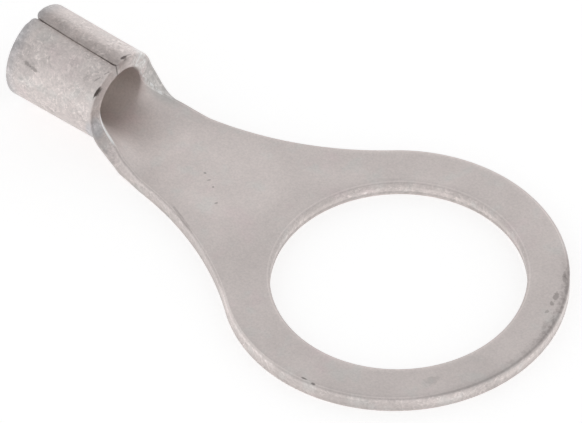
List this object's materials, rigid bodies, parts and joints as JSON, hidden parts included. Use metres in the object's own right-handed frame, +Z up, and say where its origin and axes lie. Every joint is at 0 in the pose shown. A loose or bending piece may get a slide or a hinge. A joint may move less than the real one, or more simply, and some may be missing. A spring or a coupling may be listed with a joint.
{
  "type": "ring terminal",
  "caption": "Uninsulated crimp ring terminal: flat ring tongue with a large stud hole, flared neck and short rolled wire barrel with a butted seam.",
  "frame": {"origin": "centre of the stud hole on the tongue's underside", "axes": "+Z up along the stud hole, +X from the wire barrel towards the tip of the ring, +Y across the tongue"},
  "size_m": [0.0331, 0.018, 0.0052],
  "materials": {
    "tin_plate": "matte tin plating over copper"
  },
  "bodies": {
    "root": {"terminal": "tin_plate"}
  },
  "joints": []
}
